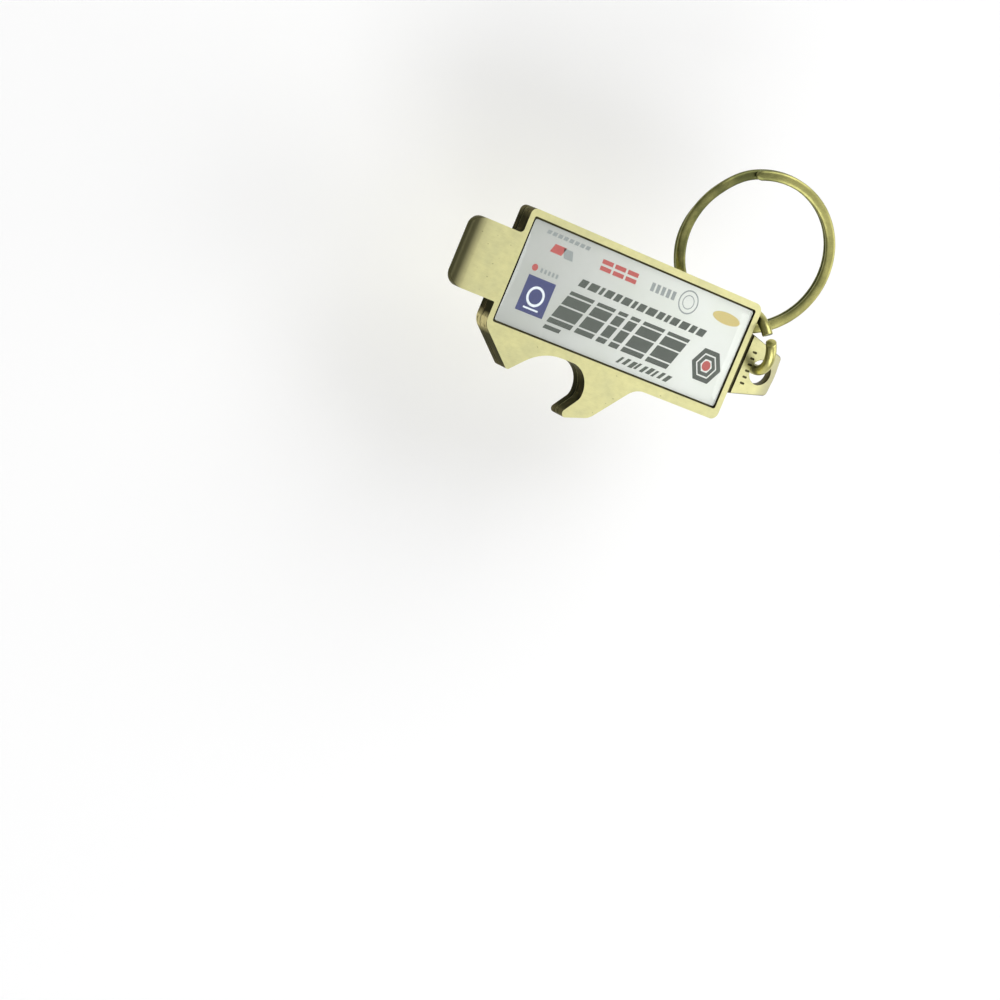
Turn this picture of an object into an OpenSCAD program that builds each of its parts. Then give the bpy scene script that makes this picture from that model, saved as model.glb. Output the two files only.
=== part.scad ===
// Keychain bottle opener: two brass plates riveted together, a domed label
// let into the front one, and a jump ring and a split ring on the lug.
// Origin: the middle of the label pocket, on the plane of the front face.
// +X points to the lug, +Y away from the cap hook, +Z out of the front face.

/* [Label] */
// Width of the pocket that the label lies in
pocket_w = 48.8; // [40:0.1:49]
// Height of the pocket
pocket_h = 18.5; // [14:0.1:18.8]
// Depth of the pocket
pocket_depth = 1; // [0.9:0.05:1.2]
// Open gap all round between the label and the pocket's wall
label_gap = 0.3; // [0.1:0.05:0.6]
// Thickness of the adhesive film
adhesive_t = 0.15; // [0.1:0.05:0.2]
// Thickness of the printed sheet
sheet_t = 0.15; // [0.1:0.05:0.2]
// How far the clear dome stands out of the front face at its middle
dome_rise = 0.35; // [0.1:0.05:0.8]
// How far the dome falls from its middle to its long edges
dome_fall = 0.45; // [0.2:0.05:0.6]

/* [Plates] */
// Thickness of the front plate
front_t = 2.4; // [2:0.1:3]
// Thickness of the back plate
back_t = 1.6; // [1:0.1:2]
// Left edge of both plates
plate_left = -25.45; // [-27:0.05:-25]
// Right edge of the front plate
plate_right = 25.6; // [25:0.05:27]
// Top edge of both plates
plate_top = 10.5; // [10:0.1:12]
// Straight part of the bottom edge
plate_bottom = -11.1; // [-12:0.1:-11]

/* [Tab] */
// How far the tab stands out past the plates
tab_length = 9.05; // [6:0.05:12]
// Width of the tab
tab_w = 12.1; // [9:0.1:13]
// Height of the tab's centre line
tab_y = -0.15; // [-1:0.05:1]
// Radius of the roll-off at the tab's end
tab_roll = 2.1; // [1:0.1:2.2]

/* [Cap notch] */
// Highest line of the notch
notch_top = -10.85; // [-10.9:0.05:-10.2]
// Right wall of the notch
notch_right = -2.45; // [-4:0.05:-2]
// Radius where the notch turns down behind the cap's skirt
notch_r = 4.3; // [3:0.1:5]
// Radius of the long ramp up from the tooth
ramp_r = 9.6; // [7:0.1:10]

/* [Lug] */
// Width of the lug where it leaves the plates
lug_root_w = 12.3; // [10:0.1:13]
// Width of the lug's end
lug_end_w = 7.4; // [6.6:0.1:9]
// Height of the lug's centre line
lug_y = -0.25; // [-1:0.05:1]
// How far the lug stands out past the front plate
lug_length = 10.25; // [9.6:0.05:12]
// Bore of the lug
lug_bore_r = 2.25; // [2.2:0.05:2.4]
// Width of the sunk band beside the front plate
band_w = 2.5; // [1:0.1:2.6]
// Depth of the sunk band
band_depth = 0.25; // [0.1:0.05:0.5]

/* [Rivets] */
// Radius of a rivet's shank
rivet_r = 1.1; // [0.8:0.05:1.4]
// Radius of a rivet's countersunk head
rivet_head_r = 1.9; // [1.5:0.05:2.2]

/* [Jump ring] */
// Radius of the ring, to the middle of its wire
jump_r = 5.1; // [5:0.05:5.3]
// Radius of the round wire
jump_wire_r = 0.95; // [0.8:0.05:0.95]
// Opening between the two cut ends, as an angle
jump_gap = 7; // [4:0.5:20]

/* [Split ring] */
// Radius of the ring, to the middle of its wire
split_r = 13.75; // [13.6:0.05:14.2]
// Wire size across the ring
split_wire_w = 1.8; // [1.6:0.1:1.9]
// Wire size along the ring's axis
split_wire_t = 0.88; // [0.7:0.01:0.9]
// Distance from one turn to the next
split_pitch = 0.95; // [0.93:0.01:1]

/* [Hidden] */

// fineness of drilled, turned and bent shapes
$fn = 96;
// angle of one step along a rounded corner of an outline
arc_step = 6;
// overlap that keeps a cut clear of the face it starts from
slack = 1;

total_t = front_t + back_t;
label_w = pocket_w - 2 * label_gap;
label_h = pocket_h - 2 * label_gap;
label_r = 0.35;
adhesive_top = adhesive_t - pocket_depth;
sheet_top = adhesive_top + sheet_t;

// the tooth's, lip's and hook's corners, before they are rounded
shoulder = [plate_left, -10.1];
tooth_tip = [-18.25, -15.95];
ramp_corner = [-12.9, notch_top];
lip_root = [notch_right, -16];
lip_tip = [-5.9, -20.5];
hook_heel = [0.7, -18.6];
hook_root = [7.4, plate_bottom];

lug_end = plate_right + lug_length;
lug_bore = [32.4, -0.45];
band_end = plate_right + band_w;
// how far the lug's root runs in under the front plate
lug_root_in = 6;

rivet_places = [[-17.5, 5], [17.5, 5], [17.5, -5], [-17.5, -5]];
rivet_head_t = 0.8;

// where the jump ring's wire goes through the lug, and which way the ring leans
jump_pass = [31.55, -0.25, -3.2];
jump_heading = 117;
// place of the cut ends along the ring, from its lowest point
jump_gap_at = 157.5;

// the point where the split ring passes through the jump ring, and its lie
link = [28.65, 6.3, -4.85];
split_heading = 116.6;
split_pitch_up = 1.9;
split_roll = -15.1;
// place of the upper turn's free end, from the side away from the link
split_end_at = 2;
// angle over which the wire steps from one turn to the other
split_step = 30;
split_corner_r = 0.3;
// how far the sloping length runs on into each turn, as an angle
split_lap = 0.4;

brass = [0.72, 0.66, 0.38];
dark_brass = [0.45, 0.42, 0.2];

function unit(v) = v / norm(v);

// the arc that rounds corner b of the path a, b, c with radius r
function corner_arc(a, b, c, r, step) =
    let (
        u = unit(a - b),
        v = unit(c - b),
        half = acos(u * v) / 2,
        middle = b + unit(u + v) * r / sin(half),
        start = b + u * r / tan(half) - middle,
        stop = b + v * r / tan(half) - middle,
        from = atan2(start.y, start.x),
        raw = atan2(stop.y, stop.x) - from,
        sweep = raw > 180 ? raw - 360 : raw < -180 ? raw + 360 : raw,
        steps = max(1, ceil(abs(sweep) / step))
    )
    [for (i = [0:steps])
        let (turn = from + sweep * i / steps)
        middle + r * [cos(turn), sin(turn)]];

// an outline from its corners, each given as [point, radius]
function rounded(corners, step = arc_step) =
    let (n = len(corners))
    [for (i = [0:n - 1])
        each corner_arc(corners[(i + n - 1) % n][0], corners[i][0],
                        corners[(i + 1) % n][0], corners[i][1], step)];

function box_corners(w, h, r) =
    [[[w / 2, h / 2], r], [[-w / 2, h / 2], r],
     [[-w / 2, -h / 2], r], [[w / 2, -h / 2], r]];

// the bottom edge from the tooth's shoulder to the lower right corner
function mouth_corners() =
    [[shoulder, 2.5], [tooth_tip, 0.6], [ramp_corner, ramp_r],
     [[notch_right, notch_top], notch_r], [lip_root, 2], [lip_tip, 0.7],
     [hook_heel, 3.2], [hook_root, 4], [[plate_right, plate_bottom], 1.4]];

function tab_corners() =
    [[[plate_left, tab_y + tab_w / 2], 0.7],
     [[plate_left - tab_length, tab_y + tab_w / 2], 2],
     [[plate_left - tab_length, tab_y - tab_w / 2], 2.2],
     [[plate_left, tab_y - tab_w / 2], 0.25]];

function top_corners() =
    [[[plate_right, plate_top], 1.6], [[plate_left, plate_top], 1.1]];

module front_outline() {
    polygon(rounded(concat(top_corners(), tab_corners(), mouth_corners())));
}

module back_outline() {
    polygon(rounded(concat(top_corners(), mouth_corners())));
}

module label_outline() {
    polygon(rounded(box_corners(label_w, label_h, label_r)));
}

// the rivet's holes, or the rivets themselves, which fill them
module rivet_shape(place, top, bottom) {
    translate([place.x, place.y, bottom])
        cylinder(r = rivet_r, h = top - bottom);
    translate([place.x, place.y, -pocket_depth - rivet_head_t])
        cylinder(r1 = rivet_r, r2 = rivet_head_r, h = rivet_head_t);
}

// the cutter that rolls the tab's front edge down to its thin end
module tab_roll_cut() {
    tab_end = plate_left - tab_length;
    translate([tab_end, tab_y + tab_w, 0])
        rotate([90, 0, 0])
            linear_extrude(2 * tab_w)
                difference() {
                    translate([-slack, -tab_roll])
                        square([tab_roll + slack, tab_roll + slack]);
                    translate([tab_roll, -tab_roll])
                        circle(r = tab_roll);
                }
}

module front_plate() {
    color(brass)
        difference() {
            translate([0, 0, -front_t])
                linear_extrude(front_t)
                    front_outline();
            translate([0, 0, -pocket_depth])
                linear_extrude(pocket_depth + slack)
                    polygon(rounded(box_corners(pocket_w, pocket_h, label_r)));
            tab_roll_cut();
            for (place = rivet_places)
                rivet_shape(place, -pocket_depth, -front_t - slack);
        }
}

module lug_outline() {
    root = lug_root_w / 2;
    end = lug_end_w / 2;
    // the sides run in under the plate along their own slope
    spread = (root - end) / lug_length * lug_root_in;
    root_x = plate_right - lug_root_in;
    difference() {
        translate([0, lug_y])
            polygon(rounded([[[root_x, root + spread], 0.3], [[root_x, -root - spread], 0.3],
                             [[lug_end - 0.3, -end], 0.9], [[lug_end, 0], 8],
                             [[lug_end - 0.3, end], 0.7]]));
        translate(lug_bore)
            circle(r = lug_bore_r);
    }
}

module back_plate() {
    color(dark_brass)
        difference() {
            translate([0, 0, -total_t])
                linear_extrude(back_t)
                    union() {
                        back_outline();
                        lug_outline();
                    }
            translate([plate_right, -lug_root_w, -front_t - band_depth])
                cube([band_w, 2 * lug_root_w, band_depth + slack]);
            for (place = rivet_places)
                rivet_shape(place, -front_t + slack, -total_t - slack);
        }
}

module rivet(i) {
    color(dark_brass)
        rivet_shape(rivet_places[i], -pocket_depth, -total_t);
}

module label_adhesive() {
    color("gainsboro")
        translate([0, 0, -pocket_depth])
            linear_extrude(adhesive_t)
                label_outline();
}

module label_sheet() {
    color("white")
        translate([0, 0, adhesive_top])
            linear_extrude(sheet_t)
                label_outline();
}

// a bar along X whose top is an arc across Y, at dome_rise in the middle and
// lower by fall at half the width
module crowned_bar(length, w, fall) {
    steps = 16;
    arc_r = (pow(w / 2, 2) + pow(fall, 2)) / (2 * fall);
    half = asin(w / 2 / arc_r);
    arc = [for (i = [-steps:steps])
        [arc_r * sin(half * i / steps), dome_rise - arc_r + arc_r * cos(half * i / steps)]];
    rotate([90, 0, 90])
        translate([0, 0, -length / 2])
            linear_extrude(length)
                polygon(concat([[w / 2, -pocket_depth], [-w / 2, -pocket_depth]], arc));
}

// a clear cushion, crowned both ways
module epoxy_dome() {
    color([0.9, 0.95, 1, 0.6])
        intersection() {
            translate([0, 0, sheet_top])
                linear_extrude(dome_rise - sheet_top + slack)
                    label_outline();
            crowned_bar(label_w + slack, label_h + slack, dome_fall);
            rotate([0, 0, 90])
                crowned_bar(label_h + slack, label_w + slack, dome_fall / 2);
        }
}

// the ring stands on edge in the lug's bore: its own angle runs from straight down
module jump_ring() {
    color(dark_brass)
        translate(jump_pass)
            rotate([0, 0, jump_heading])
                translate([jump_r, 0, 0])
                    rotate([90, 0, 0])
                        rotate([0, 0, jump_gap_at - 90 + jump_gap / 2])
                            rotate_extrude(angle = 360 - jump_gap)
                                translate([jump_r, 0])
                                    circle(r = jump_wire_r, $fn = 48);
}

// a length of the wire round the ring's axis, from angle 0
module split_arc(angle) {
    rotate_extrude(angle = angle)
        translate([split_r, 0])
            polygon(rounded(box_corners(split_wire_w, split_wire_t, split_corner_r), 30));
}

// two turns of flat wire, joined by a sloping length from the lower to the upper
module split_coil() {
    slope = asin(split_pitch / 2 / (split_r * sin(split_step / 2)));
    for (side = [0.5, -0.5])
        translate([0, 0, side * split_pitch])
            rotate([0, 0, split_step])
                split_arc(360 - split_step);
    rotate([0, 0, split_step / 2])
        rotate([slope, 0, 0])
            rotate([0, 0, -split_step / 2 - split_lap])
                split_arc(split_step + 2 * split_lap);
}

module split_ring() {
    color(brass)
        translate(link)
            rotate([0, 0, split_heading])
                rotate([0, -split_pitch_up, 0])
                    rotate([split_roll, 0, 0])
                        translate([split_r, 0, 0])
                            rotate([0, 0, split_end_at])
                                split_coil();
}

front_plate();
back_plate();
rivet(0);  // rivet_1
rivet(1);  // rivet_2
rivet(2);  // rivet_3
rivet(3);  // rivet_4
label_adhesive();
label_sheet();
epoxy_dome();
jump_ring();
split_ring();
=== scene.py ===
"""Keychain bottle opener: its looks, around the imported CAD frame.

Row frame, in metres: the origin is the middle of the label pocket on the front
face, +X points to the lug, +Y away from the cap hook, +Z out of the front face.
Shapes are written in millimetres and scaled when their mesh is made.
"""

import math

import bmesh
import bpy
from mathutils import Matrix, Vector


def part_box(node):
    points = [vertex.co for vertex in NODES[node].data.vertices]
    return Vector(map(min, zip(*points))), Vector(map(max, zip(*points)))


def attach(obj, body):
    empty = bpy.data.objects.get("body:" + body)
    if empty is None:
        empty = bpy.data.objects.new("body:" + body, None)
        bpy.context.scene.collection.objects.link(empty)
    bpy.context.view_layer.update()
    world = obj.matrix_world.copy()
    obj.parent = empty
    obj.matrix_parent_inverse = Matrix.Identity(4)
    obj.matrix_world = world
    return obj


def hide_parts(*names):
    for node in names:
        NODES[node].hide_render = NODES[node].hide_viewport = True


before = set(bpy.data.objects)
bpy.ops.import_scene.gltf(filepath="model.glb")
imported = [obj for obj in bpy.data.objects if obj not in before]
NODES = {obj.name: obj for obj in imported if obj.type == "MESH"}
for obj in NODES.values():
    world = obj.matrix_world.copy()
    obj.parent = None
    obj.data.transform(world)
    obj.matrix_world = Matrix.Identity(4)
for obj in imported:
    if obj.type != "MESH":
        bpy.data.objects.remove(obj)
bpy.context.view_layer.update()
MM = 0.001

# ---------------------------------------------------------------- sizes, in mm


def node_box(name):
    """Lowest and highest corner of a CAD node, in mm."""
    low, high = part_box(name)
    return low / MM, high / MM


front_low, front_high = node_box("front_plate")
back_low, back_high = node_box("back_plate")
sheet_high = node_box("label_sheet")[1]

SEAM_Z = front_low.z
BACK_Z = back_low.z
TAB_END = front_low.x
BODY_LEFT = back_low.x
PLATE_RIGHT = front_high.x
LUG_END = back_high.x
SHOULDER = Vector((-25.2, -9.6))
RIVETS = [(-17.5, 5), (17.5, 5), (17.5, -5), (-17.5, -5)]
RIVET_REACH = 1.5

# label, with an open line between it and the pocket's wall
LABEL_HALF = sheet_high.xy
LABEL_TOP = sheet_high.z
LABEL_R = 0.35
LABEL_GAP = 0.3
POCKET_HALF = LABEL_HALF + Vector((LABEL_GAP, LABEL_GAP))

# resin dome: its lip, how far in its shoulder ends, and how far its crown falls each way
DOME_TOP = node_box("epoxy_dome")[1].z
DOME_LIP = -0.16
DOME_SHOULDER = 1.7
DOME_FALL = (0.2, 0.4)

# lug: its bore, and the sunk band between it and the front plate
BORE = Vector((32.4, -0.45))
BORE_R = 2.25
LUG_TIP = 2.2
BAND_WIDTH = 2.5
BAND_DEPTH = 0.25
BAND_END = PLATE_RIGHT + BAND_WIDTH
BAND_Z = SEAM_Z - BAND_DEPTH

# slack when places are compared, tight and loose
HAIR = 0.01
NEAR = 0.05

# jump ring: where its wire goes through the lug, and which way it leans
JUMP_PASS = Vector((31.55, -0.25, -3.2))
JUMP_HEADING = 117
JUMP_R = 5.1
JUMP_WIRE_R = 0.95
JUMP_ENDS = (71, 424)
# how far the upper end is sprung out of the ring's plane
JUMP_SPRING = 0.45

# split ring: the point that passes through the jump ring, and its lie in degrees
LINK = Vector((28.65, 6.3, -4.85))
SPLIT_HEADING = 116.6
SPLIT_PITCH_UP = 1.9
SPLIT_ROLL = -15.1
SPLIT_END_AT = 2
# its radius to the middle of the wire, the wire's width and thickness, the rise from
# one turn to the next, and how many degrees the wire takes to climb it
SPLIT_R = 13.75
SPLIT_W = 1.8
SPLIT_T = 0.88
SPLIT_PITCH = 0.95
SPLIT_STEP = 30


# ---------------------------------------------------------------- camera, light

CAMERA_PLACE = Vector((-0.2384, 0.0027, 0.3512))
CAMERA_FORWARD = Vector((0.5436, -0.0938, -0.8341)).normalized()
CAMERA_UP = Vector((-0.2756, 0.9187, -0.2830)).normalized()
LENS = 90
SENSOR_WIDTH = 36


def make_camera():
    data = bpy.data.cameras.new("camera")
    data.lens = LENS
    data.sensor_width = SENSOR_WIDTH
    data.clip_start = 0.01
    data.clip_end = 20
    right = CAMERA_FORWARD.cross(CAMERA_UP).normalized()
    up = right.cross(CAMERA_FORWARD)
    camera = bpy.data.objects.new("camera", data)
    turn = Matrix((right, up, -CAMERA_FORWARD)).transposed().to_4x4()
    camera.matrix_world = Matrix.Translation(CAMERA_PLACE) @ turn
    bpy.context.scene.collection.objects.link(camera)
    bpy.context.scene.camera = camera


def make_lamp(name, place, target, size, power):
    data = bpy.data.lights.new(name, "AREA")
    data.shape = "SQUARE"
    data.size = size
    data.energy = power
    lamp = bpy.data.objects.new(name, data)
    place = Vector(place)
    aim = (Vector(target) - place).to_track_quat("-Z", "Y").to_matrix().to_4x4()
    lamp.matrix_world = Matrix.Translation(place) @ aim
    bpy.context.scene.collection.objects.link(lamp)


def make_world():
    """A soft white tent: brightest about halfway up, dim low down and behind the camera."""
    world = bpy.data.worlds.new("tent")
    bpy.context.scene.world = world
    world.use_nodes = True
    nodes = world.node_tree.nodes
    links = world.node_tree.links
    place = nodes.new("ShaderNodeTexCoord")
    parts = nodes.new("ShaderNodeSeparateXYZ")
    ramp = nodes.new("ShaderNodeValToRGB")
    side = nodes.new("ShaderNodeMapRange")
    links.new(place.outputs["Generated"], parts.inputs[0])
    links.new(parts.outputs["Z"], ramp.inputs[0])
    links.new(parts.outputs["X"], side.inputs["Value"])
    side.inputs["From Min"].default_value = -0.75
    side.inputs["From Max"].default_value = 0.1
    side.inputs["To Min"].default_value = 0.35
    side.inputs["To Max"].default_value = 1.0
    links.new(ramp.outputs[0], nodes["Background"].inputs["Color"])
    links.new(side.outputs["Result"], nodes["Background"].inputs["Strength"])
    stops = ramp.color_ramp.elements
    stops[0].position = 0.0
    stops[0].color = (0.2, 0.2, 0.19, 1)
    stops[1].position = 1.0
    stops[1].color = (0.62, 0.62, 0.62, 1)
    for position, level in ((0.3, 0.4), (0.62, 0.70), (0.85, 0.64)):
        stops.new(position).color = (level, level, level, 1)


def make_stage():
    """A plain pale floor, low enough for the split ring to hang its whole width."""
    bm = bmesh.new()
    reach = 3.0
    corners = ((-reach, -reach), (reach, -reach), (reach, reach), (-reach, reach))
    bm.faces.new([bm.verts.new((x, y, 0)) for x, y in corners])
    floor = new_piece("floor", bm, scale=1)
    floor.location.z = (LINK.z - 2 * SPLIT_R - SPLIT_W) * MM
    shader = Shader("floor_paper")
    shader.set("Base Color", (0.95, 0.95, 0.95, 1))
    shader.set("Roughness", 0.9)
    floor.data.materials.append(shader.material)


# ---------------------------------------------------------------- mesh helpers

# points closer than this, in mm, are joined, and so are faces that turn less, in degrees
WELD = 0.002
FLAT = 0.3
# an edge that turns more than this, in degrees, can be rounded
CORNER = 28


def new_piece(name, bm, scale=MM):
    """An object from a bmesh that is written in mm."""
    bmesh.ops.scale(bm, vec=(scale, scale, scale), verts=bm.verts)
    mesh = bpy.data.meshes.new(name)
    bm.to_mesh(mesh)
    bm.free()
    piece = bpy.data.objects.new(name, mesh)
    bpy.context.scene.collection.objects.link(piece)
    return piece


def shade(piece, angle):
    """Smooth shading that leaves edges sharper than the angle alone."""
    piece.data.shade_smooth()
    piece.data.set_sharp_from_angle(angle=math.radians(angle))


def shade_evenly(piece):
    """Smooth shading that also keeps flat faces flat."""
    shade(piece, 40)
    even = piece.modifiers.new("even_faces", "WEIGHTED_NORMAL")
    even.weight = 100
    even.keep_sharp = True


def finish_piece(piece, body, slot, *nodes):
    """Ties a piece to its body, and hides the CAD nodes that it stands in for; the slot is not used.
    """
    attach(piece, body)
    if nodes:
        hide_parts(*nodes)


def node_bmesh(name):
    """The CAD node's own shape in mm, its flat faces joined up."""
    bm = bmesh.new()
    bm.from_mesh(NODES[name].data)
    bmesh.ops.scale(bm, vec=(1 / MM,) * 3, verts=bm.verts)
    bmesh.ops.remove_doubles(bm, verts=bm.verts, dist=WELD)
    bmesh.ops.dissolve_limit(bm, angle_limit=math.radians(FLAT), verts=bm.verts, edges=bm.edges)
    return bm


def round_edges(bm, width, segments, wanted, most_rise=math.inf):
    """Rounds the convex edges that rise less than the limit, if their middle is wanted."""
    edges = []
    for edge in bm.edges:
        if len(edge.link_faces) == 2 and edge.is_convex:
            if edge.calc_face_angle() > math.radians(CORNER):
                a, b = (vert.co for vert in edge.verts)
                if abs(a.z - b.z) < most_rise and wanted((a + b) / 2):
                    edges.append(edge)
    bmesh.ops.bevel(
        bm, geom=edges, offset=width, offset_type="OFFSET", segments=segments,
        profile=0.5, affect="EDGES", clamp_overlap=True,
    )


def rounded_box_outline(half, r, steps):
    """Points round a rectangle with rounded corners, counter-clockwise."""
    points = []
    for corner, (sx, sy) in enumerate(((1, 1), (-1, 1), (-1, -1), (1, -1))):
        for i in range(steps + 1):
            turn = math.radians(90 * (corner + i / steps))
            points.append(Vector((
                sx * (half[0] - r) + r * math.cos(turn),
                sy * (half[1] - r) + r * math.sin(turn),
            )))
    return points


def band(bm, low, high):
    """Faces between two closed loops of points."""
    n = len(low)
    for i in range(n):
        j = (i + 1) % n
        bm.faces.new((low[i], low[j], high[j], high[i]))


def prism(bm, outline, low, high):
    """A closed flat-topped solid over an outline of 2-D points."""
    bottom = [bm.verts.new((p[0], p[1], low)) for p in outline]
    top = [bm.verts.new((p[0], p[1], high)) for p in outline]
    bm.faces.new(list(reversed(bottom)))
    bm.faces.new(top)
    band(bm, bottom, top)


def sweep(bm, rings):
    """Skins a row of point rings and closes both ends."""
    rows = [[bm.verts.new(p) for p in ring] for ring in rings]
    for low, high in zip(rows, rows[1:]):
        band(bm, low, high)
    bm.faces.new(list(reversed(rows[0])))
    bm.faces.new(rows[-1])


# ---------------------------------------------------------------- materials


class Shader:
    """A material with one Principled shader, and short calls for its nodes."""

    def __init__(self, name):
        self.material = bpy.data.materials.new(name)
        self.material.use_nodes = True
        self.tree = self.material.node_tree
        self.main = self.tree.nodes["Principled BSDF"]
        self.place = self.tree.nodes.new("ShaderNodeTexCoord")

    def set(self, socket, value):
        self.main.inputs[socket].default_value = value

    def feed(self, socket, output):
        self.tree.links.new(output, self.main.inputs[socket])

    def give(self, target, value):
        """Sets an input from a number, a colour or another node's output."""
        if isinstance(value, bpy.types.NodeSocket):
            self.tree.links.new(value, target)
        elif target.type == "VECTOR":
            target.default_value = value[:3]
        else:
            target.default_value = value

    def math(self, operation, a, b=0.0):
        node = self.tree.nodes.new("ShaderNodeMath")
        node.operation = operation
        self.give(node.inputs[0], a)
        self.give(node.inputs[1], b)
        return node.outputs[0]

    def step(self, value, low, high, to_low=0.0, to_high=1.0):
        """A smooth step of value from low to high."""
        node = self.tree.nodes.new("ShaderNodeMapRange")
        node.interpolation_type = "SMOOTHSTEP"
        self.give(node.inputs["Value"], value)
        node.inputs["From Min"].default_value = low
        node.inputs["From Max"].default_value = high
        node.inputs["To Min"].default_value = to_low
        node.inputs["To Max"].default_value = to_high
        return node.outputs["Result"]

    def mix(self, share, a, b):
        node = self.tree.nodes.new("ShaderNodeMix")
        node.data_type = "RGBA"
        self.give(node.inputs["Factor"], share)
        self.give(node.inputs["A"], a)
        self.give(node.inputs["B"], b)
        return node.outputs["Result"]

    def tint(self, colour, share):
        """A colour made lighter or darker by a factor round 1."""
        node = self.tree.nodes.new("ShaderNodeVectorMath")
        node.operation = "SCALE"
        self.give(node.inputs[0], colour)
        self.give(node.inputs["Scale"], share)
        return node.outputs[0]

    def stretched(self, per_mm):
        """The piece's own coordinates, scaled to repeats per mm on each axis."""
        node = self.tree.nodes.new("ShaderNodeMapping")
        node.inputs["Scale"].default_value = [n / MM for n in per_mm]
        self.tree.links.new(self.place.outputs["Object"], node.inputs["Vector"])
        return node.outputs[0]

    def noise(self, per_mm, detail=2.0, rough=0.5):
        node = self.tree.nodes.new("ShaderNodeTexNoise")
        node.inputs["Scale"].default_value = 1.0
        node.inputs["Detail"].default_value = detail
        node.inputs["Roughness"].default_value = rough
        self.tree.links.new(self.stretched(per_mm), node.inputs["Vector"])
        return node.outputs[0]

    def axes(self, which):
        """X, Y and Z of the piece's position, in mm, or of its normal."""
        node = self.tree.nodes.new("ShaderNodeSeparateXYZ")
        if which == "Object":
            self.tree.links.new(self.stretched((1, 1, 1)), node.inputs[0])
        else:
            self.tree.links.new(self.place.outputs[which], node.inputs[0])
        return node.outputs

    def attribute(self, name):
        node = self.tree.nodes.new("ShaderNodeAttribute")
        node.attribute_name = name
        return node.outputs["Fac"]

    def bump(self, height, distance_mm):
        node = self.tree.nodes.new("ShaderNodeBump")
        node.inputs["Strength"].default_value = 1.0
        node.inputs["Distance"].default_value = distance_mm * MM
        self.tree.links.new(height, node.inputs["Height"])
        self.feed("Normal", node.outputs[0])

    def metal(self, colour, roughness, height, distance_mm):
        """Bare metal with a fine relief."""
        self.feed("Base Color", colour)
        self.set("Metallic", 1.0)
        self.feed("Roughness", roughness)
        self.bump(height, distance_mm)
        return self.material


# colours, linear
BRASS = (0.72, 0.69, 0.35, 1)
BRASS_CLOUD = (0.655, 0.635, 0.335, 1)
BRASS_DEEP = (0.60, 0.53, 0.26, 1)
BRASS_GLANCE = (0.7, 0.68, 0.56, 1)
PATINA = (0.0105, 0.0115, 0.007, 1)
PATINA_BROWN = (0.062, 0.047, 0.022, 1)
TAB_PAINTED_SHADE = (0.34, 0.31, 0.16, 1)
ROLL_PAINTED_SHADE = (0.06, 0.058, 0.028, 1)
ROLL_PAINTED_LIGHT = (0.36, 0.34, 0.17, 1)
LUG_PAINTED_SHADE = (0.42, 0.40, 0.27, 1)
RECESS_DARK = (0.055, 0.05, 0.024, 1)
RECESS_LIGHT = (0.12, 0.107, 0.052, 1)
WIRE_TARNISH_AND_SHADE = (0.13, 0.138, 0.05, 1)
WIRE_RUBBED_AND_LIT = (0.59, 0.56, 0.205, 1)
RIVET_FILED = (0.58, 0.51, 0.22, 1)
ADHESIVE_THICK = (0.5, 0.5, 0.46, 1)
ADHESIVE_THIN = (0.62, 0.62, 0.58, 1)
FILM_WARM = (0.70, 0.708, 0.655, 1)
FILM_WHITE = (0.725, 0.725, 0.69, 1)
RESIN = (0.97, 0.985, 0.98, 1)
RESIN_SHADOW = (0.95, 0.97, 0.96, 1)


def patina_colour(shader):
    """Dark olive tarnish, streaked along the edge and rubbed brown in places."""
    streak = shader.noise((0.25, 0.25, 4.0), detail=3)
    cloud = shader.noise((0.45, 0.45, 0.8), detail=2)
    rubbed = shader.step(shader.math("MULTIPLY", streak, cloud), 0.25, 0.45)
    return shader.mix(rubbed, PATINA, PATINA_BROWN)


def bright_face(s, x, cloud, brush):
    """Brushed and faintly clouded brass, with painted shade at the tab's end and grey painted shade
    at the lug's.
    """
    mottle = s.noise((0.6, 0.9, 0.9), detail=4, rough=0.6)
    colour = s.mix(s.step(cloud, 0.35, 0.7), BRASS, BRASS_CLOUD)
    colour = s.tint(colour, s.step(brush, 0.2, 0.8, 0.94, 1.04))
    colour = s.tint(colour, s.step(mottle, 0.3, 0.75, 1.03, 0.93))
    # small dark pits
    pits = s.noise((1.7, 2.6, 1.7), detail=0)
    colour = s.mix(s.step(pits, 0.80, 0.84, 0.0, 0.5), colour, PATINA_BROWN)
    # both ends fade in along a ragged line
    ragged = s.math("MULTIPLY", s.noise((0.3, 1.0, 1), detail=3), 1.6)
    # painted shade: the flat face darkens towards the tab's rolled end
    tab_reach = s.math("ADD", x, s.math("MULTIPLY", ragged, 0.3))
    tab_shade = s.step(tab_reach, TAB_END + 0.6, TAB_END + 4.4, 0.5, 0.0)
    colour = s.mix(tab_shade, colour, TAB_PAINTED_SHADE)
    # painted shade: the lug's face turns grey towards its rounded end
    lug_reach = s.math("ADD", x, ragged)
    lug_shade = s.step(lug_reach, LUG_END - 2.6, LUG_END + 0.6, 0.0, 0.75)
    return s.mix(lug_shade, colour, LUG_PAINTED_SHADE)


def side_wall(s, x, facing):
    """Tarnish, with painted light and shade where the tab's end rolls over, rubbed bright by wear,
    and a painted glint at the shoulder.
    """
    # painted shade low on the tab's rolled end and painted light higher up it, by how far it faces up
    rolled_painted_shading = s.mix(s.step(facing, 0.2, 0.8), ROLL_PAINTED_SHADE, ROLL_PAINTED_LIGHT)
    roll_share = s.step(x, TAB_END + 1.4, TAB_END + 2.4, 1.0, 0.0)
    wall = s.mix(roll_share, patina_colour(s), rolled_painted_shading)
    patchy = s.step(s.noise((0.8, 0.8, 3.5), detail=3), 0.3, 0.5)
    worn_and_glint = s.math("MULTIPLY", s.attribute("wear_and_glint"), patchy)
    return s.mix(worn_and_glint, wall, BRASS_DEEP)


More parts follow.
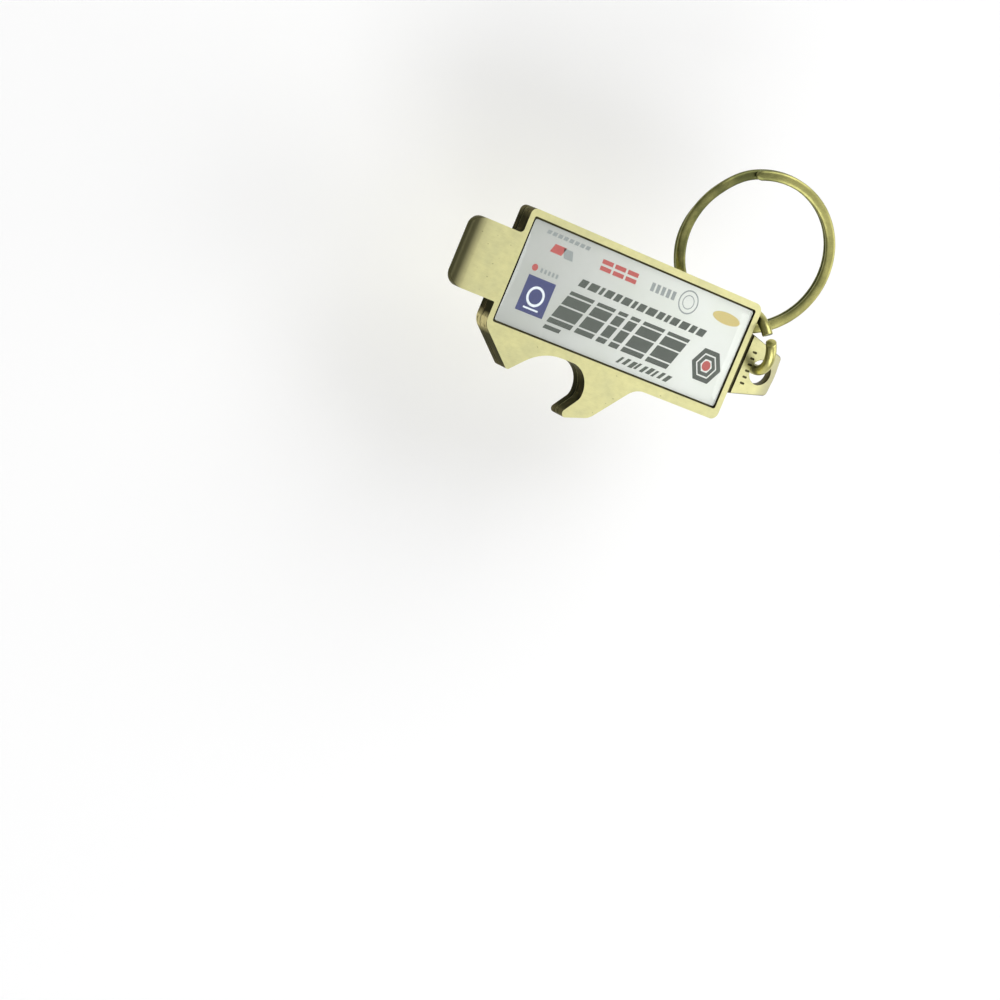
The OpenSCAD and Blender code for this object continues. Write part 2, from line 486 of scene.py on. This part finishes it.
def plate_brass():
    """Brushed brass: bright flat faces, dark side walls, worn corners, with painted light and shade
    at the shoulder and the tab's and lug's ends.
    """
    s = Shader("antique_brass_plate")
    x = s.axes("Object")[0]
    facing = s.math("ABSOLUTE", s.axes("Normal")[2])
    cloud = s.noise((0.16, 0.16, 0.16), detail=3)
    brush = s.noise((0.5, 14, 14), detail=3, rough=0.65)
    face = s.step(facing, 0.7, 0.93)
    colour = s.mix(face, side_wall(s, x, facing), bright_face(s, x, cloud, brush))
    grain = s.step(brush, 0.2, 0.8, 0.3, 0.38)
    roughness = s.math("ADD", grain, s.math("MULTIPLY", cloud, 0.06))
    # duller at a low angle, as tarnished metal is
    s.set("Specular Tint", BRASS_GLANCE)
    return s.metal(colour, roughness, brush, 0.004)


def recess_tarnish_and_shade():
    """Tarnish that the polishing wheel never reaches, and painted shade in the sunk band, the bore
    and the gap round the label.
    """
    s = Shader("brass_recess_tarnish_and_shade")
    colour = s.mix(s.noise((0.6, 0.6, 0.6)), RECESS_DARK, RECESS_LIGHT)
    roughness = s.step(s.noise((2, 2, 2)), 0.3, 0.7, 0.4, 0.55)
    return s.metal(colour, roughness, s.noise((3, 3, 6), detail=3), 0.01)


def ring_brass():
    """Drawn wire: olive tarnish and painted shade, rubbed and lit brighter where there is little of
    either.
    """
    s = Shader("antique_brass_wire")
    cloud = s.noise((0.3, 0.3, 0.3), detail=3)
    fine = s.noise((5, 5, 5), detail=3)
    clean_and_lit = s.math("SUBTRACT", 1.0, s.attribute("dirt_and_shade"))
    uneven = s.math("MULTIPLY", s.math("SUBTRACT", cloud, 0.5), 0.9)
    rubbed = s.step(s.math("ADD", clean_and_lit, uneven), 0.0, 1.0)
    colour = s.mix(rubbed, WIRE_TARNISH_AND_SHADE, WIRE_RUBBED_AND_LIT)
    colour = s.tint(colour, s.step(fine, 0.2, 0.8, 0.85, 1.1))
    return s.metal(colour, s.step(fine, 0.25, 0.75, 0.28, 0.42), fine, 0.01)


def rivet_brass():
    s = Shader("filed_rivet_brass")
    file_marks = s.noise((12, 1.2, 4), detail=3)
    colour = s.tint(RIVET_FILED, s.step(file_marks, 0.2, 0.8, 0.8, 1.1))
    return s.metal(colour, s.step(file_marks, 0.2, 0.8, 0.3, 0.45), file_marks, 0.006)


def adhesive_film():
    s = Shader("acrylic_adhesive")
    s.feed("Base Color", s.mix(s.noise((1.5, 1.5, 1.5)), ADHESIVE_THICK, ADHESIVE_THIN))
    s.set("Roughness", 0.6)
    return s.material


def label_film():
    """White print film, faintly uneven, with painted shade that dims it towards the tab."""
    s = Shader("white_label_film")
    fibre = s.noise((3.5, 3.5, 3.5), detail=4)
    cloud = s.noise((0.08, 0.12, 0.1), detail=2)
    white = s.mix(s.step(cloud, 0.35, 0.65), FILM_WARM, FILM_WHITE)
    # painted shade: the film darkens from the lug's side towards the tab
    painted_dim_at, painted_bright_at = -30, 22
    white = s.tint(white, s.step(s.axes("Object")[0], painted_dim_at, painted_bright_at, 0.56, 1.02))
    s.feed("Base Color", s.tint(white, s.step(fibre, 0.2, 0.8, 0.97, 1.02)))
    s.set("Roughness", 0.45)
    return s.material


def ink(name, colour):
    """Screen ink, with a fine dot grain."""
    s = Shader(name)
    grain = s.noise((7, 7, 7), detail=2)
    s.feed("Base Color", s.tint((*colour, 1), s.step(grain, 0.25, 0.75, 0.9, 1.1)))
    s.set("Roughness", 0.4)
    return s.material


def clear_epoxy():
    """Glossy cast resin; lamps reach the print through it."""
    s = Shader("clear_epoxy")
    s.set("Base Color", RESIN)
    s.set("Transmission Weight", 1.0)
    s.set("IOR", 1.5)
    s.feed("Roughness", s.step(s.noise((0.6, 0.6, 0.6)), 0.3, 0.7, 0.01, 0.04))
    # a slow ripple, as cast resin has
    s.bump(s.noise((0.25, 0.3, 0.2), detail=1), 0.008)
    nodes = s.tree.nodes
    path = nodes.new("ShaderNodeLightPath")
    through = nodes.new("ShaderNodeBsdfTransparent")
    through.inputs[0].default_value = RESIN_SHADOW
    both = nodes.new("ShaderNodeMixShader")
    s.tree.links.new(path.outputs["Is Shadow Ray"], both.inputs[0])
    s.tree.links.new(s.main.outputs[0], both.inputs[1])
    s.tree.links.new(through.outputs[0], both.inputs[2])
    s.tree.links.new(both.outputs[0], nodes["Material Output"].inputs["Surface"])
    return s.material


# ---------------------------------------------------------------- plates


def mark_wear_and_glint(piece):
    """Writes where the body's walls turn outwards: what hands and caps rub bright, and a painted
    glint, strongest at the shoulder.
    """
    shoulder_reach = 2.2
    elsewhere = 0.15
    full_turn = math.radians(5)
    bm = bmesh.new()
    bm.from_mesh(piece.data)
    layer = bm.verts.layers.float.new("wear_and_glint")
    for vert in bm.verts:
        if vert.co.x / MM > BODY_LEFT - 2 * NEAR:
            # real wear elsewhere; near the shoulder it is raised to full strength as a painted glint
            most = 1.0 if (vert.co.xy / MM - SHOULDER).length < shoulder_reach else elsewhere
            for edge in vert.link_edges:
                upright = abs((edge.verts[0].co - edge.verts[1].co).normalized().z) > 0.9
                if upright and len(edge.link_faces) == 2 and edge.is_convex:
                    turned = min(1.0, edge.calc_face_angle() / full_turn)
                    vert[layer] = max(vert[layer], most * turned)
    bm.to_mesh(piece.data)
    bm.free()


def split_walls(bm, longest=1.2):
    """Cuts long level edges up, so that wear and the painted glint can stop short of a corner."""
    for edge in list(bm.edges):
        span = edge.verts[0].co - edge.verts[1].co
        if edge.is_valid and span.length > longest and abs(span.z) < HAIR:
            bmesh.ops.subdivide_edges(bm, edges=[edge], cuts=int(span.length / longest))


def paint_plate(piece, recessed):
    """Brass all over, with the recess's tarnish and painted shade on the faces that pass the test."""
    piece.data.materials.append(BRASS_PLATE)
    piece.data.materials.append(RECESS_TARNISH_AND_SHADE)
    for face in piece.data.polygons:
        if recessed(face.center / MM, face.normal):
            face.material_index = 1


def in_pocket(p, slack=NEAR):
    return abs(p.x) < POCKET_HALF.x + slack and abs(p.y) < POCKET_HALF.y + slack


def front_plate():
    bm = node_bmesh("front_plate")
    split_walls(bm)
    # the outline in front, but not the upright corners of the plate's whole depth
    round_edges(bm, 0.26, 4, lambda p: p.z > SEAM_Z + NEAR and not in_pocket(p), most_rise=1.9)
    # the pocket's rim, then the outline along the seam
    round_edges(bm, 0.09, 2, lambda p: p.z > -HAIR and in_pocket(p))
    round_edges(bm, 0.12, 2, lambda p: p.z < SEAM_Z + HAIR and not in_pocket(p, -1))
    piece = new_piece("front_plate_body", bm)
    # the pocket's walls round the label are painted dark, as tarnish and as painted shade in the gap
    paint_plate(piece, lambda p, normal: in_pocket(p) and SEAM_Z + NEAR < p.z < -2 * NEAR)
    mark_wear_and_glint(piece)
    shade_evenly(piece)
    finish_piece(piece, "opener", "plate_brass", "front_plate")


def cut_marks(piece):
    """Six short sunk dashes across the lug, in place of its engraved characters."""
    count = 6
    first = Vector((29.6, 2.45))
    pitch = 1.16
    half = (0.5, 0.2)
    corner_r = 0.18
    depth = 0.12
    bm = bmesh.new()
    for i in range(count):
        middle = Vector((first.x, first.y - pitch * i))
        outline = [middle + p for p in rounded_box_outline(half, corner_r, steps=3)]
        prism(bm, outline, SEAM_Z - depth, SEAM_Z + 0.2)
    cutter = new_piece("mark_cutter", bm)
    cutter.data.materials.append(RECESS_TARNISH_AND_SHADE)
    cut = piece.modifiers.new("marks", "BOOLEAN")
    cut.operation = "DIFFERENCE"
    cut.object = cutter
    cut.solver = "EXACT"
    cut.material_mode = "TRANSFER"
    graph = bpy.context.evaluated_depsgraph_get()
    mesh = bpy.data.meshes.new_from_object(piece.evaluated_get(graph), depsgraph=graph)
    piece.modifiers.clear()
    piece.data = mesh
    bpy.data.objects.remove(cutter)


def near_bore(p, slack=2 * NEAR):
    return (p.xy - BORE).length < BORE_R + slack


def near_rivet(p):
    return any((p.xy - Vector(place)).length < RIVET_REACH for place in RIVETS)


def on_lug_top(p):
    return p.x > BAND_END + NEAR and p.z > SEAM_Z - HAIR and not near_bore(p)


def back_recess(p, normal):
    """The sunk band, the step up from it to the lug, and the bore's wall."""
    # these faces are painted dark as tarnish and as painted shade, beside the front plate's edge and
    # down the bore
    band_floor = PLATE_RIGHT - 2 * NEAR < p.x < BAND_END + NEAR and abs(p.z - BAND_Z) < 0.03
    step_wall = abs(p.x - BAND_END) < 0.02 and p.z > BAND_Z - HAIR
    bore_wall = abs(normal.z) < 0.3 and near_bore(p, 0.02)
    return band_floor or step_wall or bore_wall


def back_plate():
    bm = node_bmesh("back_plate")
    split_walls(bm)
    tip_from = LUG_END - LUG_TIP
    half_way = (SEAM_Z + BACK_Z) / 2
    rims = (
        # the bore's two rims
        (0.14, 2, lambda p: near_bore(p) and abs(p.z - half_way) > 0.5),
        # the lug's top, rounder at its tip
        (0.4, 4, lambda p: on_lug_top(p) and p.x > tip_from),
        (0.2, 3, lambda p: on_lug_top(p) and p.x <= tip_from),
        # the outline along the seam
        (0.12, 2, lambda p: p.z > SEAM_Z - HAIR and p.x < PLATE_RIGHT + NEAR),
        # the outline behind, and finely round the rivets
        (0.28, 4, lambda p: p.z < BACK_Z + HAIR and not near_bore(p) and not near_rivet(p)),
        (0.08, 2, lambda p: p.z < BACK_Z + HAIR and near_rivet(p)),
    )
    for width, segments, wanted in rims:
        round_edges(bm, width, segments, wanted)
    piece = new_piece("back_plate_body", bm)
    paint_plate(piece, back_recess)
    cut_marks(piece)
    mark_wear_and_glint(piece)
    shade_evenly(piece)
    finish_piece(piece, "opener", "plate_brass", "back_plate")


def rivets():
    for number in range(1, len(RIVETS) + 1):
        node = f"rivet_{number}"
        bm = node_bmesh(node)
        round_edges(bm, 0.1, 3, lambda p: p.z < BACK_Z + HAIR)
        piece = new_piece(node + "_shank", bm)
        piece.data.materials.append(RIVET)
        shade_evenly(piece)
        finish_piece(piece, "opener", "rivet_brass", node)


# ---------------------------------------------------------------- label

# the dome's stations in from an edge, closest where it curves most
NEAR_EDGE = [0, 0.02, 0.06, 0.12, 0.2, 0.3, 0.42, 0.56, 0.72, 0.9, 1.15, 1.5, 2.0, 2.7]
# and the number of spans between the last of them on either side
MIDDLE_SPANS = 16


def dome_stations(half):
    """Places across the dome from one edge to the other."""
    inset = NEAR_EDGE[-1]
    span = 2 * (half - inset)
    outer = [half - d for d in NEAR_EDGE]
    inner = [half - inset - span * i / MIDDLE_SPANS for i in range(1, MIDDLE_SPANS)]
    return outer + inner + [-v for v in reversed(outer)]


def dome_height(x, y, inward):
    """Height of the resin at a place that lies so far in from the edge."""
    fall_x, fall_y = DOME_FALL
    crown = DOME_TOP - fall_y * (y / LABEL_HALF.y) ** 2 - fall_x * (x / LABEL_HALF.x) ** 2
    t = min(inward / DOME_SHOULDER, 1.0)
    return DOME_LIP + (crown - DOME_LIP) * math.sqrt(1 - (1 - t) ** 2.2)


def round_corner(x, y):
    """Pulls a place near a corner in to the corner's radius; also says how far in it lies."""
    dx = LABEL_HALF.x - abs(x)
    dy = LABEL_HALF.y - abs(y)
    if dx < LABEL_R and dy < LABEL_R:
        a, b = LABEL_R - dx, LABEL_R - dy
        length = math.hypot(a, b)
        pull = max(a, b) / length if length > 0 else 1
        a, b = a * pull, b * pull
        x = math.copysign(LABEL_HALF.x - LABEL_R + a, x)
        y = math.copysign(LABEL_HALF.y - LABEL_R + b, y)
        return x, y, LABEL_R - math.hypot(a, b)
    return x, y, min(dx, dy)


def label_dome():
    """The resin cushion: a steep rounded shoulder, then a low crown both ways."""
    bm = bmesh.new()
    grid = []
    for across in dome_stations(LABEL_HALF.x):
        row = []
        for up in dome_stations(LABEL_HALF.y):
            x, y, inward = round_corner(across, up)
            row.append(bm.verts.new((x, y, dome_height(x, y, inward))))
        grid.append(row)
    for row, after in zip(grid, grid[1:]):
        for j in range(len(row) - 1):
            bm.faces.new((row[j], row[j + 1], after[j + 1], after[j]))
    rim = [row[0] for row in grid[:-1]] + grid[-1][:-1]
    rim += [row[-1] for row in grid[:0:-1]] + grid[0][:0:-1]
    foot = [bm.verts.new((v.co.x, v.co.y, LABEL_TOP + 0.02)) for v in rim]
    band(bm, rim, foot)
    bm.faces.new(foot)
    bmesh.ops.recalc_face_normals(bm, faces=bm.faces)
    piece = new_piece("label_dome", bm)
    piece.data.materials.append(clear_epoxy())
    shade(piece, 50)
    finish_piece(piece, "opener", "clear_epoxy", "epoxy_dome")


# how thick the ink stands on the sheet, and a second colour on the first
INK_T = 0.012
OVERPRINT_T = 0.004
# how far the italic shapes lean, per mm of height
LEAN = 0.376


class Print:
    """Flat ink shapes on the label, in mm from the label's top left corner."""

    def __init__(self):
        self.bm = bmesh.new()
        self.low = LABEL_TOP
        self.high = LABEL_TOP + INK_T

    def place(self, x, y):
        return (x - LABEL_HALF.x, LABEL_HALF.y - y)

    def shape(self, points):
        """Any outline; it is turned to run counter-clockwise."""
        outline = [self.place(x, y) for x, y in points]
        area = sum(
            a[0] * b[1] - a[1] * b[0] for a, b in zip(outline, outline[1:] + outline[:1])
        )
        prism(self.bm, outline if area > 0 else outline[::-1], self.low, self.high)

    def bar(self, x, y, w, h, lean=0.0):
        """A bar, its top edge shifted right by lean per mm of height."""
        shift = lean * h
        self.shape([(x, y + h), (x + w, y + h), (x + w + shift, y), (x + shift, y)])

    def disc(self, x, y, r, squash=1.0, steps=40):
        turns = [2 * math.pi * i / steps for i in range(steps)]
        self.shape([(x + r * math.cos(t), y + squash * r * math.sin(t)) for t in turns])

    def ring(self, x, y, outer, inner, sides=48):
        """A band between two regular outlines, as a closed solid."""
        loops = []
        for r in (outer, inner):
            for z in (self.low, self.high):
                loop = []
                for i in range(sides):
                    t = 2 * math.pi * i / sides
                    px, py = self.place(x + r * math.cos(t), y + r * math.sin(t))
                    loop.append(self.bm.verts.new((px, py, z)))
                loops.append(loop)
        order = (0, 1, 3, 2, 0)
        for a, b in zip(order, order[1:]):
            band(self.bm, loops[a], loops[b])

    def done(self, name, colour):
        bmesh.ops.recalc_face_normals(self.bm, faces=self.bm.faces)
        piece = new_piece(name, self.bm)
        piece.data.materials.append(ink(name + "_ink", colour))
        finish_piece(piece, "opener", "label_print")


def dark_print():
    """Large leaning blocks in four bands, bars above and below them, and a hexagon."""
    dark = Print()
    bottom = 14.95
    left = 9.6
    for width in (5.4, 4.2, 2.3, 2.3, 5.0, 5.2):
        for y0, y1 in ((8.75, 9.4), (9.68, 11.36), (11.64, 13.76), (14.04, bottom)):
            dark.bar(left + LEAN * (bottom - y1), y0, width - 0.35, y1 - y0, LEAN)
        left += width + 0.45
    dark.bar(9.4, 15.45, 3.4, 0.7, LEAN)
    left = 12.6
    for width in (1.5, 1.9, 0.7, 1.6, 1.2, 1.7, 0.8, 1.5, 1.9, 1.3, 0.8, 1.6, 1.8, 1.2, 1.6):
        dark.bar(left, 6.2, width, 1.35, LEAN)
        left += width + 0.47
    dark.ring(43.5, 11.85, 3.3, 2.35, sides=6)
    dark.ring(43.5, 11.85, 2.05, 1.3, sides=6)
    dark.done("print_dark", (0.052, 0.062, 0.047))


def script_print():
    """Small slanted dashes below the blocks."""
    script = Print()
    for i in range(9):
        script.bar(25.6 + 1.3 * i, 15.75 - 0.1 * (i % 2), 0.55 + 0.2 * (i % 3), 1.25, 0.75)
    script.done("print_script", (0.05, 0.062, 0.042))


def badge_print():
    """A blue block with a white ring and bar printed over it."""
    blue = Print()
    blue.bar(3.0, 8.8, 5.65, 6.15)
    blue.done("print_blue", (0.022, 0.03, 0.14))
    white = Print()
    white.low = white.high
    white.high += OVERPRINT_T
    white.ring(5.82, 11.9, 1.75, 1.3)
    white.bar(4.3, 13.95, 3.05, 0.3)
    white.done("print_white", (0.75, 0.78, 0.82))


def red_print():
    """Two rows of blocks, a leaning block and two discs."""
    red = Print()
    for i in range(3):
        for y in (1.8, 2.95):
            red.bar(15.4 + 2.75 * i, y, 2.3, 0.75)
    red.bar(5.0, 2.6, 2.4, 1.5, LEAN)
    red.disc(3.55, 7.45, 0.58)
    red.disc(43.5, 11.85, 0.9)
    red.done("print_red", (0.45, 0.065, 0.055))


def grey_print():
    """Three rows of fine dashes, two rings and a leaning block."""
    grey = Print()
    for i in range(8):
        grey.bar(3.1 + 1.16 * i, 0.85, 0.85, 0.68, 0.3)
    for i in range(5):
        grey.bar(26.4 + 1.16 * i, 2.15, 0.75, 1.5)
        grey.bar(4.75 + 0.8 * i, 7.15, 0.45, 0.75)
    grey.ring(34.8, 2.95, 2.1, 1.85)
    grey.ring(34.8, 2.95, 1.25, 1.08)
    grey.bar(8.0, 2.7, 1.9, 1.6, -LEAN)
    grey.done("print_grey", (0.26, 0.28, 0.275))


def gold_print():
    gold = Print()
    gold.disc(43.6, 3.0, 3.1, 0.33)
    gold.done("print_gold", (0.58, 0.46, 0.16))


def label_print():
    """Plain bars, rings and blocks in place of the label's marks and words."""
    dark_print()
    script_print()
    badge_print()
    red_print()
    grey_print()
    gold_print()


# ---------------------------------------------------------------- rings


def wire_section(half_w, half_t, power, steps=24):
    """A flattened round wire: a superellipse, as (across, along the axis)."""
    points = []
    for i in range(steps):
        turn = 2 * math.pi * i / steps
        c, s = math.cos(turn), math.sin(turn)
        points.append((
            half_w * math.copysign(abs(c) ** (2 / power), c),
            half_t * math.copysign(abs(s) ** (2 / power), s),
        ))
    return points


def smoothstep(t):
    """0 below 0, 1 above 1, and eased at both ends in between."""
    t = min(max(t, 0.0), 1.0)
    return t * t * (3 - 2 * t)


def wire_piece(name, rings, dirt_and_shade, sharp):
    """A wire skinned over its rings of points, with its dirt and painted shade written at each."""
    bm = bmesh.new()
    sweep(bm, rings)
    bmesh.ops.recalc_face_normals(bm, faces=bm.faces)
    piece = new_piece(name, bm)
    layer = piece.data.attributes.new("dirt_and_shade", "FLOAT", "POINT")
    layer.data.foreach_set("value", dirt_and_shade)
    piece.data.materials.append(WIRE)
    shade(piece, sharp)
    return piece


def split_ring_place():
    """The ring's own axes: its middle, its plane, and its visible end on +X."""
    return (
        Matrix.Translation(LINK)
        @ Matrix.Rotation(math.radians(SPLIT_HEADING), 4, "Z")
        @ Matrix.Rotation(math.radians(-SPLIT_PITCH_UP), 4, "Y")
        @ Matrix.Rotation(math.radians(SPLIT_ROLL), 4, "X")
        @ Matrix.Translation((SPLIT_R, 0, 0))
        @ Matrix.Rotation(math.radians(SPLIT_END_AT), 4, "Z")
    )


def split_ring():
    """Two turns of flattened wire, stepping from one to the other."""
    place = split_ring_place()
    section = wire_section(SPLIT_W / 2, SPLIT_T / 2, power=2.5)
    first, last = SPLIT_STEP, 720
    near_end = (0, 0.12, 0.5, 1.1)
    angles = [first + a for a in near_end]
    angles += range(first + 2, last, 2)
    angles += [last - a for a in reversed(near_end)]
    # both ends are ground thin: over how many degrees, and to what share of the wire
    hidden_grind, visible_grind = (50, 0.4), (4, 0.6)
    # the side of the ring, on its own angle, that is painted with the most shade
    painted_darkest_at = math.radians(50)
    rings, dirt_and_shade = [], []
    for angle in angles:
        climb = smoothstep((angle - 360) / SPLIT_STEP)
        rise = SPLIT_PITCH * (climb - 0.5)
        to_end = min(angle - first, last - angle)
        blunt = math.sqrt(1 - (1 - min(to_end / near_end[-1], 1)) ** 2)
        taper, thin = visible_grind if angle > 360 else hidden_grind
        keep = (thin + (1 - thin) * smoothstep(to_end / taper)) * (0.35 + 0.65 * blunt)
        turn = math.radians(angle)
        out = Vector((math.cos(turn), math.sin(turn), 0))
        painted_side_shade = 0.5 + 0.5 * math.cos(turn - painted_darkest_at)
        ring = []
        for across, along in section:
            local = out * (SPLIT_R + across * keep) + Vector((0, 0, rise + along * keep))
            ring.append(place @ local)
            # the faces between the two turns, and the inner side, keep their tarnish and also get
            # painted shade, and one side of the ring gets painted shade
            outward = along / (SPLIT_T / 2) * (2 * climb - 1)
            inside = max(0.0, -across / (SPLIT_W / 2))
            dirt_and_shade.append(0.3 + 0.4 * smoothstep(0.5 - outward) + 0.25 * inside + 0.4 * painted_side_shade ** 2)
        rings.append(ring)
    piece = wire_piece("split_ring_coil", rings, dirt_and_shade, 60)
    finish_piece(piece, "split_ring", "ring_brass", "split_ring")


def jump_ring():
    """Round wire, snipped at a slant on one side of its opening."""
    heading = math.radians(JUMP_HEADING)
    level = Vector((math.cos(heading), math.sin(heading), 0))
    up = Vector((0, 0, 1))
    side = level.cross(up)
    middle = JUMP_PASS + level * JUMP_R
    first, last = (math.radians(a) for a in JUMP_ENDS)
    sides, steps = 32, 150
    # the snip slopes over this length, and takes most from the side turned up and to -X
    snip_length = 1.35
    snip_turn = math.radians(332)
    bevel = 0.12
    core_r = JUMP_WIRE_R * 0.5
    bevel_r = JUMP_WIRE_R - bevel
    # the upper end springs sideways over this much of the ring, in radians
    spring_before_top, spring_over = 0.9, 2.1

    def point(angle, r, turn):
        out = level * math.cos(angle) + up * math.sin(angle)
        sprung = JUMP_SPRING * smoothstep((angle - 2 * math.pi + spring_before_top) / spring_over)
        lateral = side * (r * math.sin(turn) - sprung)
        return middle + out * (JUMP_R + r * math.cos(turn)) + lateral

    def snip(turn, r):
        return snip_length / JUMP_R * (1 + math.cos(turn - snip_turn) * r / JUMP_WIRE_R) / 2

    turns = [2 * math.pi * k / sides for k in range(sides)]
    rings, dirt_and_shade = [], []
    # the snipped end face is painted brightest
    for r, inset, tone in ((core_r, 0, 0.0), (bevel_r, 0, 0.1), (JUMP_WIRE_R, bevel, 0.4)):
        rings.append([point(first + snip(t, r) + inset / JUMP_R, r, t) for t in turns])
        dirt_and_shade += [tone] * sides
    for i in range(1, steps):
        share = i / steps
        rings.append([
            point(first + snip(t, JUMP_WIRE_R) * (1 - share) + (last - first) * share, JUMP_WIRE_R, t)
            for t in turns
        ])
        # darker on the inner side of the wire
        dirt_and_shade += [0.12 + 0.4 * max(0.0, -math.cos(t)) for t in turns]
    # the far end face is painted darkest
    for r, inset, tone in ((JUMP_WIRE_R, bevel, 0.6), (bevel_r, 0, 1.3)):
        rings.append([point(last - inset / JUMP_R, r, t) for t in turns])
        dirt_and_shade += [tone] * sides
    piece = wire_piece("jump_ring_wire", rings, dirt_and_shade, 40)
    finish_piece(piece, "jump_ring", "ring_brass", "jump_ring")


# ---------------------------------------------------------------- build

bpy.context.scene.view_settings.view_transform = "Standard"

make_camera()
make_world()
make_lamp("right_softbox", (0.95, 0.1, 0.62), (0.02, 0, 0), 0.7, 2.6)
make_lamp("back_softbox", (0.1, 0.9, 0.75), (0, 0, 0), 0.9, 6.2)
make_lamp("front_softbox", (0.15, -0.9, 0.75), (0, 0, 0), 0.9, 6.2)
make_stage()

BRASS_PLATE = plate_brass()
RECESS_TARNISH_AND_SHADE = recess_tarnish_and_shade()
WIRE = ring_brass()
RIVET = rivet_brass()

front_plate()
back_plate()
rivets()
label_dome()
label_print()
split_ring()
jump_ring()

for name, material, slot in (
    ("label_adhesive", adhesive_film(), "adhesive"),
    ("label_sheet", label_film(), "label_print"),
):
    NODES[name].data.materials.clear()
    NODES[name].data.materials.append(material)
